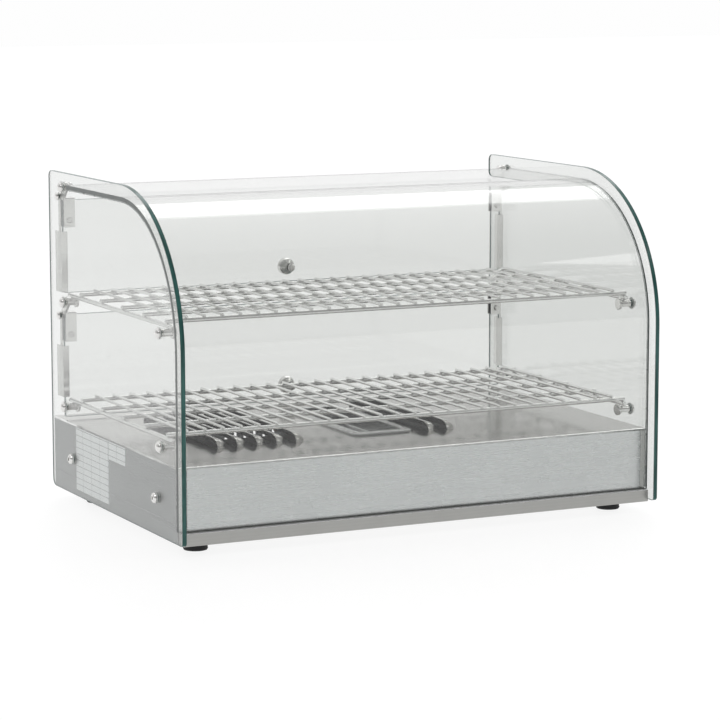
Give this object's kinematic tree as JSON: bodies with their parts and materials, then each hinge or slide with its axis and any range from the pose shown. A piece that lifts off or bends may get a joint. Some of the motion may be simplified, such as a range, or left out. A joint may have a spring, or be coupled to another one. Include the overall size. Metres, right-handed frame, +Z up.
{
  "type": "hot food display case",
  "caption": "Countertop heated display case: curved front glass, flat side glasses, wire shelves, top-hung glass flaps at the back and a steel base with a vented deck and water pan",
  "frame": {"origin": "the middle of the outer box in plan, on the surface that the rubber feet stand on", "axes": "+X runs along the width, to the right of a customer at the curved front; +Y points from the curved front to the rear flaps and controls; +Z is up"},
  "size_m": [0.57, 0.4, 0.3675],
  "materials": {
    "glass": "clear polished float glass with a green edge tint and ground edges",
    "brushed_steel": "fine horizontal brush lines, satin stainless steel",
    "tray_steel": "satin stainless steel, slightly warmer, soft fold radii",
    "deck_steel": "near-mirror polished stainless sheet with faint wipe marks",
    "pan_steel": "polished rim and satin grey inside, light water marks",
    "aluminised_steel": "dull aluminised sheet",
    "zinc_steel": "zinc plated, slightly dull",
    "polished_steel": "polished stainless steel",
    "chrome_wire": "bright chromed wire",
    "heater_sheath": "heat-darkened stainless sheath",
    "copper": "dull copper",
    "label": "blank silver foil label",
    "black_rubber": "black moulded rubber, slightly dusty",
    "clear_nylon": "milky nylon",
    "black_plastic": "black moulded thermoset, semi-gloss",
    "black_nylon": "black nylon",
    "lamp_amber": "translucent amber lens",
    "cream_plastic": "cream ceramic-filled plastic",
    "wire_insulation": "off-white glass-silicone sleeving"
  },
  "bodies": {
    "case": {"bay_divider": "aluminised_steel", "bolt_washers": "clear_nylon", "bottom_tray": "tray_steel", "capillary": "copper", "deck_plate": "deck_steel", "dial_plate": "brushed_steel", "domed_bolts": "polished_steel", "earth_stud": "zinc_steel", "element_brackets": "zinc_steel", "feet": "black_rubber", "foot_screws": "zinc_steel", "front_glass": "glass", "front_panel": "brushed_steel", "gland_body": "black_nylon", "gland_cap": "black_nylon", "heat_shield": "aluminised_steel", "heating_element": "heater_sheath", "keeper_screws": "polished_steel", "lamp_body": "polished_steel", "lamp_lens": "lamp_amber", "lower_angle_strips": "polished_steel", "pivot_pins": "polished_steel", "rear_panel": "brushed_steel", "rear_screws": "polished_steel", "rocker_housing": "black_plastic", "shelf_pins": "polished_steel", "side_glass_left": "glass", "side_glass_right": "glass", "side_labels": "label", "side_nuts": "zinc_steel", "side_panel_left": "brushed_steel", "side_panel_right": "brushed_steel", "side_screws": "polished_steel", "side_washers": "clear_nylon", "supply_wires": "wire_insulation", "terminal_block": "cream_plastic", "terminal_screws": "zinc_steel", "thermostat_body": "zinc_steel", "upper_angle_strips": "polished_steel"},
    "upper_flap": {"upper_flap_glass": "glass", "upper_flap_clamps": "polished_steel", "upper_flap_pads": "black_rubber", "upper_clamp_screws": "polished_steel", "upper_flap_handle": "polished_steel", "upper_handle_screw": "polished_steel"},
    "lower_flap": {"lower_flap_glass": "glass", "lower_flap_clamps": "polished_steel", "lower_flap_pads": "black_rubber", "lower_clamp_screws": "polished_steel", "lower_flap_handle": "polished_steel", "lower_handle_screw": "polished_steel"},
    "upper_shelf": {"upper_shelf_grid": "chrome_wire", "upper_shelf_rails": "chrome_wire"},
    "lower_shelf": {"lower_shelf_grid": "chrome_wire", "lower_shelf_rails": "chrome_wire"},
    "pan": {"water_pan": "pan_steel"},
    "knob": {"thermostat_knob": "black_plastic", "thermostat_shaft": "zinc_steel"},
    "rocker": {"rocker": "black_plastic"}
  },
  "joints": [
    {"name": "upper_flap_hinge", "type": "hinge", "parent": "case", "child": "upper_flap", "pos_m": [0, 0.138, 0.3515], "axis": [1, 0, 0], "range_deg": [0, 85]},
    {"name": "lower_flap_hinge", "type": "hinge", "parent": "case", "child": "lower_flap", "pos_m": [0, 0.138, 0.2245], "axis": [1, 0, 0], "range_deg": [0, 65]},
    {"name": "upper_shelf_lift", "type": "slide", "parent": "case", "child": "upper_shelf", "axis": [0, 0, 1], "range_m": [0, 0.01]},
    {"name": "lower_shelf_lift", "type": "slide", "parent": "case", "child": "lower_shelf", "axis": [0, 0, 1], "range_m": [0, 0.01]},
    {"name": "water_pan_lift", "type": "slide", "parent": "case", "child": "pan", "axis": [0, 0, 1], "range_m": [0, 0.015]},
    {"name": "thermostat_turn", "type": "hinge", "parent": "case", "child": "knob", "pos_m": [0.155, 0.179, 0.0515], "axis": [0, -1, 0], "range_deg": [0, 270]},
    {"name": "rocker_tip", "type": "hinge", "parent": "case", "child": "rocker", "pos_m": [0.217, 0.178, 0.0515], "axis": [1, 0, 0], "range_deg": [0, 16]}
  ]
}
